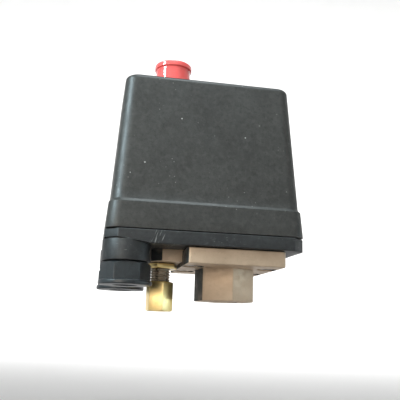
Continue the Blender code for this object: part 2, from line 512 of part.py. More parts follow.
# ---- on-off knob ------------------------------------------------------------------------
turned(
    "knob",
    [(0, KNOB_TOP), (KNOB_LIP_R - 1.1, KNOB_TOP), (KNOB_LIP_R - 0.32, KNOB_TOP - 0.32), (KNOB_LIP_R, KNOB_TOP - 1.1), (KNOB_LIP_R, KNOB_LIP_Z + 0.4),
     (KNOB_LIP_R - 0.35, KNOB_LIP_Z), (KNOB_R + 0.2, KNOB_LIP_Z - 0.1), (KNOB_R, KNOB_LIP_Z - 0.5), (KNOB_R, KNOB_Z0), (6.6, KNOB_Z0), (6.6, 110.0), (4.4, 110.0), (4.4, KNOB_Z0 + 1.0),
     (2.55, KNOB_Z0 + 1.0), (2.55, 108.4), (0, 108.4)],
    (KNOB_X, 0), 32, RED,
)
turned("knob_rod", [(0, 108.0), (2.0, 108.0), (2.2, 107.8), (2.2, 50.0), (1.6, 49.3), (0, 49.3)], (KNOB_X, 0), 14, STEEL)
turned("knob_retainer", [(10.2, 97.9), (10.2, 96.5), (2.5, 96.5), (2.5, 97.9)], (KNOB_X, 0), 24, STEEL, closed=True)
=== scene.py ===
import math

import bmesh
import bpy
from mathutils import Matrix, Vector


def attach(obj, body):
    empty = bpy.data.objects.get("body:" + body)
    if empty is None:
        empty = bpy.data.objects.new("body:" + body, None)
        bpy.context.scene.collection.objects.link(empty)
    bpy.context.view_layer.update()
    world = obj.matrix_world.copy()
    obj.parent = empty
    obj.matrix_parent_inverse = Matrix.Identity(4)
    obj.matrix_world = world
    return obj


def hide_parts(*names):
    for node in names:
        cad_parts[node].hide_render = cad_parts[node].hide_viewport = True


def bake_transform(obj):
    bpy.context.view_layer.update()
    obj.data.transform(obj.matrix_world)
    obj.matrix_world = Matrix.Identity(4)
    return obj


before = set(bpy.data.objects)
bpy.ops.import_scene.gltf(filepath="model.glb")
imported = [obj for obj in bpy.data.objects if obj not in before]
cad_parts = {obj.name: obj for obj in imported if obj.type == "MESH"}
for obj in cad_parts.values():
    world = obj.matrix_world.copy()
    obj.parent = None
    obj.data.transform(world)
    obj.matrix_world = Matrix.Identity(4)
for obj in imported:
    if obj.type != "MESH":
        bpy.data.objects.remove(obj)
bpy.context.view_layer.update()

MM = 0.001
SCENE = bpy.context.scene
LOOKS = bpy.data.collections.new("looks")
SCENE.collection.children.link(LOOKS)


# =========================================================================================
# materials
# =========================================================================================
class Nodes:
    """A small helper round one material's node tree."""

    def __init__(self, name, colour, rough, metal=0.0):
        self.mat = bpy.data.materials.new(name)
        self.mat.use_nodes = True
        self.t = self.mat.node_tree
        self.bsdf = self.t.nodes["Principled BSDF"]
        self.bsdf.inputs["Base Color"].default_value = (*colour, 1)
        self.bsdf.inputs["Roughness"].default_value = rough
        self.bsdf.inputs["Metallic"].default_value = metal
        self.co = self.t.nodes.new("ShaderNodeTexCoord").outputs["Object"]

    def node(self, kind, **inputs):
        n = self.t.nodes.new(kind)
        for k, v in inputs.items():
            key = int(k[1:]) if k[0] == "i" and k[1:].isdigit() else k.replace("_", " ")
            if isinstance(v, bpy.types.NodeSocket):
                self.t.links.new(v, n.inputs[key])
            else:
                n.inputs[key].default_value = v
        return n

    def mapped(self, scale=(1, 1, 1), rotation=(0, 0, 0), location=(0, 0, 0), vector=None):
        n = self.node("ShaderNodeMapping", Vector=vector or self.co)
        n.inputs["Scale"].default_value = scale
        n.inputs["Rotation"].default_value = rotation
        n.inputs["Location"].default_value = location
        return n.outputs[0]

    def noise(self, scale, detail=3.0, rough=0.55, vector=None, distortion=0.0):
        n = self.node("ShaderNodeTexNoise", Vector=vector or self.co, Scale=scale, Detail=detail, Roughness=rough, Distortion=distortion)
        return n.outputs["Fac"]

    def voronoi(self, scale, vector=None, feature="F1", randomness=1.0):
        n = self.t.nodes.new("ShaderNodeTexVoronoi")
        n.feature = feature
        self.t.links.new(vector or self.co, n.inputs["Vector"])
        n.inputs["Scale"].default_value = scale
        n.inputs["Randomness"].default_value = randomness
        return n.outputs["Distance"]

    def ramp(self, value, lo, hi, a=0.0, b=1.0):
        """Maps value from lo..hi to a..b, clamped."""
        n = self.t.nodes.new("ShaderNodeMapRange")
        n.clamp = True
        self.t.links.new(value, n.inputs["Value"])
        for k, v in (("From Min", lo), ("From Max", hi), ("To Min", a), ("To Max", b)):
            n.inputs[k].default_value = v
        return n.outputs[0]

    def math(self, op, a, b=None):
        n = self.t.nodes.new("ShaderNodeMath")
        n.operation = op
        for i, v in enumerate((a, b)):
            if v is None:
                continue
            if isinstance(v, bpy.types.NodeSocket):
                self.t.links.new(v, n.inputs[i])
            else:
                n.inputs[i].default_value = v
        return n.outputs[0]

    def axis(self, i):
        n = self.node("ShaderNodeSeparateXYZ", Vector=self.co)
        return n.outputs[i]

    def normal(self, i):
        g = self.t.nodes.new("ShaderNodeNewGeometry")
        n = self.node("ShaderNodeSeparateXYZ", Vector=g.outputs["Normal"])
        return n.outputs[i]

    def mix(self, factor, a, b):
        n = self.t.nodes.new("ShaderNodeMix")
        n.data_type = "RGBA"
        for key, v in ((0, factor), (6, a), (7, b)):
            if isinstance(v, bpy.types.NodeSocket):
                self.t.links.new(v, n.inputs[key])
            else:
                n.inputs[key].default_value = v if key == 0 else (*v, 1)
        return n.outputs[2]

    def colour(self, socket):
        self.t.links.new(socket, self.bsdf.inputs["Base Color"])

    def rough(self, socket):
        self.t.links.new(socket, self.bsdf.inputs["Roughness"])

    def bump(self, height, strength, distance):
        b = self.node("ShaderNodeBump", Height=height, Strength=strength, Distance=distance)
        old = self.bsdf.inputs["Normal"]
        if old.is_linked:
            self.t.links.new(old.links[0].from_socket, b.inputs["Normal"])
        self.t.links.new(b.outputs[0], self.bsdf.inputs["Normal"])

    def set(self, **values):
        for k, v in values.items():
            self.bsdf.inputs[k.replace("_", " ")].default_value = v
        return self


def plastic(name, low, high, rough=(0.42, 0.58), grain=2600.0, bump=0.35, specks=0.0, scuffs=0.0):
    """Moulded black plastic: spark-eroded grain, cloudy sheen, a little dust, and scuffs on the front of the base."""
    m = Nodes(name, low, rough[0])
    cloud = m.noise(38.0, 4.0, 0.6)
    fine = m.noise(grain, 2.0, 0.6)
    base = m.mix(m.ramp(cloud, 0.35, 0.68), low, high)
    base = m.mix(m.ramp(fine, 0.55, 0.8, 0.0, 0.35), base, tuple(min(1, c * 1.8) for c in high))
    mottle = m.noise(420.0, 3.0, 0.5)
    base = m.mix(m.ramp(mottle, 0.45, 0.72, 0.0, 0.55), base, tuple(c * 1.5 for c in high))
    base = m.mix(m.ramp(m.noise(700.0, 2.0), 0.52, 0.7, 0.0, 0.5), base, tuple(c * 0.6 for c in low))
    roughness = m.ramp(m.noise(150.0, 3.0, 0.5), 0.3, 0.7, rough[0], rough[1])
    if specks:
        small = m.math("MULTIPLY", m.ramp(m.voronoi(420.0), 0.05, 0.11, 1.0, 0.0), m.ramp(m.noise(95.0, 2.0), 0.55, 0.60, 0.0, specks * 0.45))
        large = m.math("MULTIPLY", m.ramp(m.voronoi(150.0), 0.035, 0.06, 1.0, 0.0), m.ramp(m.noise(45.0, 2.0), 0.52, 0.56, 0.0, specks))
        base = m.mix(m.math("MAXIMUM", small, large), base, (0.46, 0.46, 0.43))
    if scuffs:
        # slanted strokes, thickest on two stretches of the front edge, and a few anywhere
        lean = m.mapped((1700.0, 90.0, 150.0), vector=m.mapped(rotation=(0.0, math.radians(-20), 0.0)))
        flat = m.mapped((260.0, 90.0, 1900.0), vector=m.mapped(rotation=(0.0, math.radians(14), 0.0)), location=(5.3, 1.0, 2.2))
        x = m.axis(0)
        left = m.math("MULTIPLY", m.ramp(x, -0.040, -0.038), m.ramp(x, -0.026, -0.028))
        right = m.math("MULTIPLY", m.ramp(x, -0.014, -0.010, 0.0, 1.0), m.ramp(x, 0.006, 0.001))
        lines = m.math("MULTIPLY", m.ramp(m.noise(1.0, 1.0, 0.5, lean), 0.64, 0.71), left)
        rub = m.math("MULTIPLY", m.ramp(m.noise(1500.0, 3.0, 0.7), 0.60, 0.72), m.ramp(m.noise(420.0, 2.0), 0.52, 0.62))
        rub = m.math("MULTIPLY", rub, m.math("MAXIMUM", right, m.ramp(m.noise(70.0, 2.0), 0.54, 0.64, 0.0, 0.5)))
        few = m.math("MULTIPLY", m.ramp(m.noise(1.0, 1.0, 0.5, flat), 0.68, 0.74), m.ramp(m.noise(90.0, 2.0), 0.55, 0.62, 0.0, 0.5))
        strokes = m.math("MAXIMUM", m.math("MAXIMUM", lines, few), rub)
        strokes = m.math("MULTIPLY", strokes, scuffs)
        base = m.mix(strokes, base, (0.20, 0.205, 0.20))
        m.bump(strokes, 0.15, 0.00005)
    m.colour(base)
    m.rough(roughness)
    m.bump(fine, bump, 0.00009)
    m.bump(m.noise(1100.0, 2.0), bump * 0.5, 0.00012)
    m.bump(m.noise(26.0, 2.0), 0.08, 0.0012)
    m.set(Specular_IOR_Level=0.5)
    return m.mat


def gloss_red(name):
    m = Nodes(name, (0.95, 0.13, 0.12), 0.16)
    cloud = m.noise(90.0, 3.0)
    base = m.mix(m.ramp(cloud, 0.35, 0.7), (0.94, 0.115, 0.11), (0.98, 0.16, 0.15))
    fine = m.noise(1500.0, 2.0)
    base = m.mix(m.ramp(fine, 0.6, 0.8, 0, 0.2), base, (1.0, 0.26, 0.25))
    m.colour(base)
    m.rough(m.ramp(m.noise(240.0, 4.0), 0.3, 0.7, 0.10, 0.22))
    m.bump(m.noise(180.0, 2.0), 0.06, 0.0002)
    m.set(Specular_IOR_Level=0.6, Coat_Weight=0.35, Coat_Roughness=0.06, Subsurface_Weight=0.12, Subsurface_Scale=0.002)
    m.bsdf.inputs["Subsurface Radius"].default_value = (1.0, 0.25, 0.2)
    return m.mat


def metal(name, dark, light, rough=(0.25, 0.4), grain=900.0, bump=0.1, lines=None, metallic=1.0, spots=None, cloud_scale=120.0):
    """Bare or plated metal: cloudy tone, fine grain, and optional turning or rolling lines."""
    m = Nodes(name, dark, rough[0], metallic)
    cloud = m.noise(cloud_scale, 4.0, 0.6)
    base = m.mix(m.ramp(cloud, 0.35, 0.65), dark, light)
    if spots:
        base = m.mix(m.ramp(m.noise(340.0, 4.0, 0.65), 0.58, 0.72, 0.0, spots[3]), base, spots[:3])
    m.colour(base)
    r = m.ramp(m.noise(grain * 0.4, 3.0), 0.3, 0.7, rough[0], rough[1])
    m.rough(r)
    m.bump(m.noise(grain, 3.0), bump, 0.00008)
    if lines:
        m.bump(m.noise(1.0, 2.0, 0.6, m.mapped(lines)), 0.12, 0.00004)
    return m.mat


def cast_zinc(name):
    m = Nodes(name, (0.42, 0.35, 0.28), 0.5, 0.55)
    cloud = m.noise(70.0, 5.0, 0.6)
    base = m.mix(m.ramp(cloud, 0.32, 0.68), (0.47, 0.352, 0.247), (0.62, 0.482, 0.350))
    skin = m.noise(800.0, 4.0, 0.7)
    base = m.mix(m.ramp(skin, 0.55, 0.75, 0.0, 0.35), base, (0.34, 0.27, 0.20))
    stain = m.noise(190.0, 4.0, 0.7, m.mapped((1, 1, 1), (0, 0, 0), (0.4, 0.1, 0.2)))
    base = m.mix(m.ramp(stain, 0.62, 0.74, 0.0, 0.4), base, (0.42, 0.33, 0.25))
    # painted shade: faces turned towards -X get a near-black colour, more roughness and less metal, standing in for the
    # shade these faces fall in
    side = m.ramp(m.normal(0), -0.52, -0.63)
    side = m.math("MULTIPLY", side, m.ramp(m.noise(120.0, 3.0), 0.2, 0.5, 0.75, 1.0))
    base = m.mix(side, base, (0.026, 0.030, 0.029))
    m.colour(base)
    m.rough(m.math("MAXIMUM", m.ramp(m.noise(300.0, 4.0), 0.3, 0.7, 0.42, 0.62), m.math("MULTIPLY", side, 0.8)))
    m.t.links.new(m.ramp(side, 0.0, 1.0, 0.5, 0.0), m.bsdf.inputs["Metallic"])
    m.bump(skin, 0.28, 0.00010)
    m.bump(m.noise(160.0, 3.0), 0.18, 0.0004)
    return m.mat


def soft_rubber(name):
    m = Nodes(name, (0.02, 0.02, 0.021), 0.75)
    m.colour(m.mix(m.ramp(m.noise(200.0, 4.0), 0.35, 0.7), (0.017, 0.017, 0.018), (0.035, 0.034, 0.033)))
    m.rough(m.ramp(m.noise(500.0), 0.3, 0.7, 0.62, 0.85))
    m.bump(m.noise(1600.0, 3.0), 0.3, 0.0001)
    return m.mat


def phenolic(name, dark, light):
    m = Nodes(name, dark, 0.4)
    flow = m.noise(60.0, 5.0, 0.65, m.mapped((1, 1, 2.5)), 1.2)
    base = m.mix(m.ramp(flow, 0.35, 0.65), dark, light)
    fleck = m.noise(900.0, 3.0, 0.6)
    base = m.mix(m.ramp(fleck, 0.62, 0.75, 0, 0.5), base, tuple(c * 2.2 for c in light))
    m.colour(base)
    m.rough(m.ramp(m.noise(350.0), 0.3, 0.7, 0.32, 0.48))
    m.bump(fleck, 0.12, 0.00008)
    return m.mat


COVER_MAT = plastic("cover_plastic", (0.028, 0.028, 0.026), (0.040, 0.040, 0.037), (0.38, 0.52), 2600.0, 0.42, specks=0.9)
BASE_MAT = plastic("base_plastic", (0.011, 0.012, 0.013), (0.020, 0.022, 0.023), (0.42, 0.56), 2200.0, 0.3, specks=0.3, scuffs=0.9)
GLAND_MAT = plastic("gland_plastic", (0.012, 0.016, 0.018), (0.022, 0.027, 0.030), (0.32, 0.46), 1800.0, 0.22, specks=0.2)
RED_MAT = gloss_red("knob_plastic")
ZINC_MAT = cast_zinc("cast_zinc")
BRASS_MAT = metal("machined_brass", (0.88, 0.65, 0.27), (0.97, 0.79, 0.40), (0.30, 0.40), 1200.0, 0.04, (200.0, 200.0, 5200.0), spots=(0.55, 0.36, 0.12, 0.45))
THREAD_MAT = metal("thread_brass", (0.44, 0.38, 0.31), (0.62, 0.54, 0.44), (0.24, 0.40), 1500.0, 0.12, spots=(0.22, 0.17, 0.11, 0.5))
CONTACT_MAT = metal("contact_brass", (0.70, 0.43, 0.20), (0.84, 0.58, 0.32), (0.22, 0.36), 1100.0, 0.1, (4200.0, 180.0, 180.0))
SILVER_MAT = metal("silver_alloy", (0.72, 0.71, 0.68), (0.9, 0.89, 0.86), (0.2, 0.32), 1500.0, 0.1, spots=(0.35, 0.32, 0.28, 0.3))
PLATED_MAT = metal("zinc_plate", (0.50, 0.50, 0.47), (0.65, 0.64, 0.60), (0.33, 0.50), 700.0, 0.12, (260.0, 2600.0, 260.0), spots=(0.55, 0.50, 0.30, 0.35), cloud_scale=60.0)
SCREW_MAT = metal("bright_fastener", (0.50, 0.50, 0.49), (0.70, 0.69, 0.66), (0.24, 0.40), 1300.0, 0.1, spots=(0.38, 0.36, 0.28, 0.4))
STEEL_MAT = metal("ground_steel", (0.56, 0.56, 0.57), (0.72, 0.72, 0.72), (0.14, 0.26), 1800.0, 0.06, (240.0, 240.0, 6000.0))
SPRING_MAT = metal("spring_wire", (0.20, 0.20, 0.21), (0.36, 0.35, 0.34), (0.24, 0.40), 1500.0, 0.12)
RUBBER_MAT = soft_rubber("nitrile_rubber")
BLOCK_MAT = phenolic("phenolic_brown", (0.060, 0.026, 0.017), (0.105, 0.045, 0.028))
CARRIER_MAT = phenolic("phenolic_dark", (0.035, 0.020, 0.016), (0.070, 0.036, 0.026))


# =========================================================================================
# mesh tools (all sizes in mm)
# =========================================================================================
def smooth(mesh, angle=32):
    mesh.shade_smooth()
    mesh.set_sharp_from_angle(angle=math.radians(angle))


def made(name, bm, mat=None, angle=32, weld=True):
    if weld:
        bmesh.ops.remove_doubles(bm, verts=bm.verts, dist=1e-7)
    bmesh.ops.recalc_face_normals(bm, faces=bm.faces)
    mesh = bpy.data.meshes.new(name)
    bm.to_mesh(mesh)
    bm.free()
    smooth(mesh, angle)
    obj = bpy.data.objects.new(name, mesh)
    LOOKS.objects.link(obj)
    if mat:
        mesh.materials.append(mat)
    return obj


def put(obj, body, *nodes, slot=None):
    """The piece rides on a body and stands for CAD nodes."""
    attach(obj, body)
    if nodes:
        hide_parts(*nodes)
    return obj


def lathe(name, profile, at=(0, 0), n=64, mat=None, closed=False, angle=32):
    """A turned solid: profile is (radius, z); points at radius 0 lie on the axis."""
    bm = bmesh.new()
    rings = []
    for r, z in profile:
        if r < 1e-6:
            rings.append([bm.verts.new((at[0] * MM, at[1] * MM, z * MM))])
        else:
            rings.append([bm.verts.new(((at[0] + r * math.cos(2 * math.pi * i / n)) * MM, (at[1] + r * math.sin(2 * math.pi * i / n)) * MM, z * MM)) for i in range(n)])
    pairs = list(zip(rings, rings[1:])) + ([(rings[-1], rings[0])] if closed else [])
    for a, b in pairs:
        for i in range(n):
            j = (i + 1) % n
            if len(a) == 1 and len(b) == 1:
                continue
            if len(a) == 1:
                bm.faces.new((a[0], b[j], b[i]))
            elif len(b) == 1:
                bm.faces.new((a[i], a[j], b[0]))
            else:
                bm.faces.new((a[i], a[j], b[j], b[i]))
    return made(name, bm, mat, angle)


def arc(cx, cz, r, a0, a1, n=6):
    """Points of an arc in the profile plane, degrees from +X towards +Z."""
    return [(cx + r * math.cos(math.radians(a0 + (a1 - a0) * i / n)), cz + r * math.sin(math.radians(a0 + (a1 - a0) * i / n))) for i in range(n + 1)]


def loft(name, sections, mat=None, angle=32, caps=True):
    bm = bmesh.new()
    rings = [[bm.verts.new((x * MM, y * MM, z * MM)) for x, y in outline] for outline, z in sections]
    for low, high in zip(rings, rings[1:]):
        for i in range(len(low)):
            j = (i + 1) % len(low)
            bm.faces.new((low[i], low[j], high[j], high[i]))
    if caps:
        bm.faces.new(list(reversed(rings[0])))
        bm.faces.new(rings[-1])
    return made(name, bm, mat, angle)


def rounded_poly(points, radius, steps=6):
    """A convex or concave polygon, anticlockwise, with each corner rounded. radius is one number or one per corner."""
    out = []
    n = len(points)
    for i, p in enumerate(points):
        r = radius[i] if hasattr(radius, "__len__") else radius
        a, b, c = Vector(points[i - 1]), Vector(p), Vector(points[(i + 1) % n])
        u, v = (a - b).normalized(), (c - b).normalized()
        if r <= 0:
            out.append(tuple(b))
            continue
        half = math.acos(max(-1, min(1, u.dot(v)))) / 2
        t = r / math.tan(half)
        centre = b + (u + v).normalized() * (r / math.sin(half))
        start, end = b + u * t - centre, b + v * t - centre
        a0, a1 = math.atan2(start.y, start.x), math.atan2(end.y, end.x)
        d = (a1 - a0 + math.pi) % (2 * math.pi) - math.pi
        for k in range(steps + 1):
            ang = a0 + d * k / steps
            out.append((centre.x + r * math.cos(ang), centre.y + r * math.sin(ang)))
    return out


def inset_poly(points, d):
    """Moves each side of an anticlockwise polygon inwards by d."""
    n = len(points)
    out = []
    for i in range(n):
        a, b, c = Vector(points[i - 1]), Vector(points[i]), Vector(points[(i + 1) % n])
        e1, e2 = (b - a).normalized(), (c - b).normalized()
        n1, n2 = Vector((-e1.y, e1.x)), Vector((-e2.y, e2.x))
        k = 1 + n1.dot(n2)
        out.append(tuple(b + (n1 + n2) * (d / k)))
    return out


def slab(name, points, z, corner, edge, mat=None, steps=6, edge_steps=4, draft=0.0):
    """A plate with rounded corners and rounded top and bottom edges. draft insets the lower end, mm."""
    z0, z1 = z
    sections = []
    for k in range(edge_steps + 1):
        a = math.pi / 2 * k / edge_steps
        sections.append((edge * (1 - math.sin(a)) + draft, z0 + edge * (1 - math.cos(a))))
    for k in range(edge_steps + 1):
        a = math.pi / 2 * k / edge_steps
        sections.append((edge * (1 - math.cos(a)), z1 - edge * (1 - math.sin(a))))
    rings = []
    for d, zz in sections:
        inner = inset_poly(points, d) if d > 1e-9 else points
        r = [max(0.02, q - d) for q in corner] if hasattr(corner, "__len__") else max(0.02, corner - d)
        rings.append((rounded_poly(inner, r, steps), zz))
    return loft(name, rings, mat)


def box(name, x, y, z, edge=0.3, mat=None, corner=None, segments=3):
    bm = bmesh.new()
    bmesh.ops.create_cube(bm, size=1.0)
    bmesh.ops.scale(bm, vec=[(b - a) * MM for a, b in (x, y, z)], verts=bm.verts)
    bmesh.ops.translate(bm, vec=[(a + b) / 2 * MM for a, b in (x, y, z)], verts=bm.verts)
    if edge:
        bmesh.ops.bevel(bm, geom=list(bm.edges), offset=edge * MM, segments=segments, profile=0.5, affect="EDGES")
    return made(name, bm, mat)


def rod(name, r, z, at=(0, 0), n=64, turn=0.0, top=None, mat=None, angle=32):
    bm = bmesh.new()
    low, high = [], []
    for i in range(n):
        a = math.radians(turn) + 2 * math.pi * i / n
        low.append(bm.verts.new(((at[0] + r * math.cos(a)) * MM, (at[1] + r * math.sin(a)) * MM, z[0] * MM)))
        rt = r if top is None else top
        high.append(bm.verts.new(((at[0] + rt * math.cos(a)) * MM, (at[1] + rt * math.sin(a)) * MM, z[1] * MM)))
    for i in range(n):
        j = (i + 1) % n
        bm.faces.new((low[i], low[j], high[j], high[i]))
    bm.faces.new(list(reversed(low)))
    bm.faces.new(high)
    return made(name, bm, mat, angle)


def lie_along_y(obj, at):
    """Turns an upright piece at the origin to lie along Y at (x, z), in its mesh."""
    obj.data.transform(Matrix.Translation((at[0] * MM, 0, at[1] * MM)) @ Matrix.Rotation(math.pi / 2, 4, "X"))
    return obj


def boolean(obj, operation, *tools):
    """Joins or cuts with solids that are then removed."""
    for tool in tools:
        m = obj.modifiers.new("b", "BOOLEAN")
        m.operation, m.solver, m.object = operation, "EXACT", tool
    apply(obj)
    for tool in tools:
        bpy.data.objects.remove(tool, do_unlink=True)
    return obj


def cut(obj, *tools):
    return boolean(obj, "DIFFERENCE", *tools)


def join(obj, *tools):
    return boolean(obj, "UNION", *tools)


def tidy(mesh):
    """Drops doubled and folded faces, and closes the slits that they leave."""
    mesh.validate()
    bm = bmesh.new()
    bm.from_mesh(mesh)
    bmesh.ops.dissolve_degenerate(bm, dist=2e-7, edges=bm.edges)
    slits = [e for e in bm.edges if len(e.link_faces) == 1]
    if slits:
        bmesh.ops.holes_fill(bm, edges=slits, sides=8)
    loose = [e for e in bm.edges if not e.link_faces]
    if loose:
        bmesh.ops.delete(bm, geom=loose, context="EDGES")
    bm.to_mesh(mesh)
    bm.free()


def apply(obj, angle=32):
    bpy.context.view_layer.update()
    dg = bpy.context.evaluated_depsgraph_get()
    mesh = bpy.data.meshes.new_from_object(obj.evaluated_get(dg))
    obj.modifiers.clear()
    obj.data = mesh
    tidy(mesh)
    smooth(mesh, angle)
    return obj


def soften(obj, width, segments=2, angle=38, keep_angle=32):
    m = obj.modifiers.new("soften", "BEVEL")
    m.width, m.segments, m.limit_method, m.angle_limit = width * MM, segments, "ANGLE", math.radians(angle)
    m.use_clamp_overlap = True
    m.harden_normals = False
    apply(obj, keep_angle)
    return obj


def hex_solid(name, r, z, at, turn, mat, chamfer=(0.0, 0.0), edge=0.15):
    """A hexagon whose ends are turned to a chamfer, as a nut's are."""
    obj = rod(name, r, z, at, 6, turn, mat=mat)
    flat = r * math.cos(math.radians(30))
    lo, hi = chamfer
    far = min(r + 3, flat - 0.15 + 0.45 * (z[1] - z[0]) / math.tan(math.radians(28)))
    profile = []
    if lo:
        profile += [(0, z[0] - 0.5), (flat - 0.15 - 0.5 / math.tan(math.radians(28)), z[0] - 0.5), (flat - 0.15, z[0]), (far, z[0] + (far - flat + 0.15) * math.tan(math.radians(28)))]
    else:
        profile += [(0, z[0] - 1), (far, z[0] - 1)]
    if hi:
        profile += [(far, z[1] - (far - flat + 0.15) * math.tan(math.radians(28))), (flat - 0.15, z[1]), (flat - 0.15 - 0.5 / math.tan(math.radians(28)), z[1] + 0.5), (0, z[1] + 0.5)]
    else:
        profile += [(far, z[1] + 1), (0, z[1] + 1)]
    shape = lathe(name + "_turned", profile, at, 96)
    m = obj.modifiers.new("b", "BOOLEAN")
    m.operation, m.solver, m.object = "INTERSECT", "EXACT", shape
    apply(obj)
    bpy.data.objects.remove(shape, do_unlink=True)
    if edge:
        soften(obj, edge, 2, 25, 30)
    return obj


def threaded(name, r, pitch, z, at, depth=None, n=48, per=10, mat=None, ends=0.6, inside=False):
    """A helical thread on a closed rod between two heights, with faded ends."""
    depth = depth or pitch * 0.54
    z0, z1 = z
    rows = max(4, int(round((z1 - z0) / pitch * per)))
    bm = bmesh.new()
    rings = []
    for k in range(rows + 1):
        zz = z0 + (z1 - z0) * k / rows
        ring = []
        for i in range(n):
            a = 2 * math.pi * i / n
            phase = ((zz - z0) / pitch - i / n) % 1.0
            wave = abs(phase * 2 - 1)  # 1 at a crest, 0 at a root
            wave = min(1.0, max(0.0, (wave - 0.12) / 0.76))
            fade = min(1.0, (zz - z0) / ends, (z1 - zz) / ends) if ends else 1.0
            fade = max(0.0, fade)
            if inside:
                rr = r + depth * (1 - wave) * fade
            else:
                rr = r - depth * (1 - wave) * max(fade, 0.0) - depth * 0.9 * (1 - fade)
            ring.append(bm.verts.new(((at[0] + rr * math.cos(a)) * MM, (at[1] + rr * math.sin(a)) * MM, zz * MM)))
        rings.append(ring)
    for a, b in zip(rings, rings[1:]):
        for i in range(n):
            j = (i + 1) % n
            bm.faces.new((a[i], a[j], b[j], b[i]))
    bm.faces.new(list(reversed(rings[0])))
    bm.faces.new(rings[-1])
    return made(name, bm, mat, 50, weld=False)


def coil(name, radius, wire, z, turns, at, mat, per_turn=28, sides=12, closed_turns=0.9, part=(0.0, 1.0)):
    """A compression spring with closed, ground ends. part picks a stretch of it, so that it can be two pieces."""
    low, high = z[0] + wire / 2, z[1] - wire / 2
    total = turns
    free = high - low - 2 * closed_turns * wire * 0.98

    def height(t):
        q = t * total
        if q < closed_turns:
            return low + q * wire * 0.98
        if q > total - closed_turns:
            return high - (total - q) * wire * 0.98
        s = (q - closed_turns) / (total - 2 * closed_turns)
        s = s * s * (3 - 2 * s) * 0.25 + s * 0.75
        return low + closed_turns * wire * 0.98 + s * free

    steps = int(total * per_turn)
    lo, hi = int(steps * part[0]), int(steps * part[1])
    centre = Vector((at[0], at[1], 0))
    pts = []
    for i in range(lo, hi + 1):
        t = i / steps
        a = 2 * math.pi * total * t
        pts.append(centre + Vector((radius * math.cos(a), radius * math.sin(a), height(t))))
    bm = bmesh.new()
    rings = []
    for i, p in enumerate(pts):
        d = (pts[min(i + 1, len(pts) - 1)] - pts[max(i - 1, 0)]).normalized()
        out = (p - Vector((at[0], at[1], p.z))).normalized()
        up = d.cross(out).normalized()
        out = up.cross(d).normalized()
        ring = []
        for k in range(sides):
            a = 2 * math.pi * k / sides
            q = p + (out * math.cos(a) + up * math.sin(a)) * (wire / 2)
            q.z = min(max(q.z, z[0]), z[1])
            ring.append(bm.verts.new(q * MM))
        rings.append(ring)
    for a, b in zip(rings, rings[1:]):
        for k in range(sides):
            j = (k + 1) % sides
            bm.faces.new((a[k], a[j], b[j], b[k]))
    bm.faces.new(list(reversed(rings[0])))
    bm.faces.new(rings[-1])
    return made(name, bm, mat, 50, weld=False)


def refine(node, mat, body, width=0.25, segments=2, name=None, slot=None):
    """A softened copy of a CAD solid: flats are made whole again and the edges are broken."""
    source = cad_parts[node]
    mesh = source.data.copy()
    obj = bpy.data.objects.new(name or node + "_fine", mesh)
    LOOKS.objects.link(obj)
    mesh.transform(source.matrix_world)
    bm = bmesh.new()
    bm.from_mesh(mesh)
    bmesh.ops.remove_doubles(bm, verts=bm.verts, dist=2e-6)
    bmesh.ops.dissolve_limit(bm, angle_limit=math.radians(0.6), verts=bm.verts, edges=bm.edges)
    bm.to_mesh(mesh)
    bm.free()
    mesh.materials.clear()
    mesh.materials.append(mat)
    if width:
        soften(obj, width, segments, 40)
    else:
        smooth(obj.data)
    obj.data.materials.clear()
    obj.data.materials.append(mat)
    return put(obj, body, node, slot=slot)


def machine_screw(name, node, body, at, head_r, head_z, shank_r, tip, mat, pitch=0.7, drive="cross", thread_top=None):
    """A pan-head machine screw with a rolled thread."""
    h0, h1 = head_z
    h = h1 - h0
    head = lathe(
        name,
        [(0, h1), (head_r * 0.45, h1 - 0.02 * h)] + arc(head_r - 0.55 * h, h1 - 0.62 * h, 0.55 * h, 78, 0, 6) + [(head_r, h0 + 0.1), (head_r - 0.1, h0), (shank_r - 0.05, h0), (shank_r - 0.05, h0 - 0.2), (0, h0 - 0.2)],
        at, 40, mat,
    )
    if drive == "cross":
        tools = [box("d1", (at[0] - head_r * 0.56, at[0] + head_r * 0.56), (at[1] - head_r * 0.11, at[1] + head_r * 0.11), (h1 - h * 0.6, h1 + 1), 0.0),
                 box("d2", (at[0] - head_r * 0.11, at[0] + head_r * 0.11), (at[1] - head_r * 0.56, at[1] + head_r * 0.56), (h1 - h * 0.6, h1 + 1), 0.0),
                 rod("d3", head_r * 0.16, (h1 - h * 0.75, h1 + 1), at, 16, top=head_r * 0.36)]
        cut(head, *tools)
    elif drive == "slot":
        cut(head, box("d1", (at[0] - head_r * 1.2, at[0] + head_r * 1.2), (at[1] - head_r * 0.13, at[1] + head_r * 0.13), (h1 - h * 0.5, h1 + 1), 0.0))
    shank = threaded(name + "_thread", shank_r, pitch, (tip, h0 - 0.1), at, n=28, per=7, mat=mat)
    join(head, shank)
    smooth(head.data, 34)
    head.data.materials.clear()
    head.data.materials.append(mat)
    return put(head, body, node)


# =========================================================================================
# sizes, mm, as the CAD model has them
# =========================================================================================
XL, XR, YH = -57.4, 30.6, 29.5
BAND0, BAND1, TOP = 28.1, 39.9, 100.4
KNOB = (-28.15, 0.0)
VALVE = (-30.2, 0.0)
GLANDS = {"front": (-47.35, -19.0), "rear": (-47.35, 19.0)}
POST = (16.0, 0.0)
RANGE = (-14.0, 0.0)
DIFF = (4.0, 0.0)
FLANGE_SCREWS = [(-17.0, -13.0), (17.0, -13.0), (17.0, 13.0), (-17.0, 13.0)]

# ---- cover ------------------------------------------------------------------------------
def rect(x, y, radius, steps):
    return rounded_poly([(x[0], y[0]), (x[1], y[0]), (x[1], y[1]), (x[0], y[1])], radius, steps)


def cover_ring(z, dx, dy, radius, steps=14):
    return rect((XL + dx, XR - dx), (-YH + dy, YH - dy), radius, steps), z


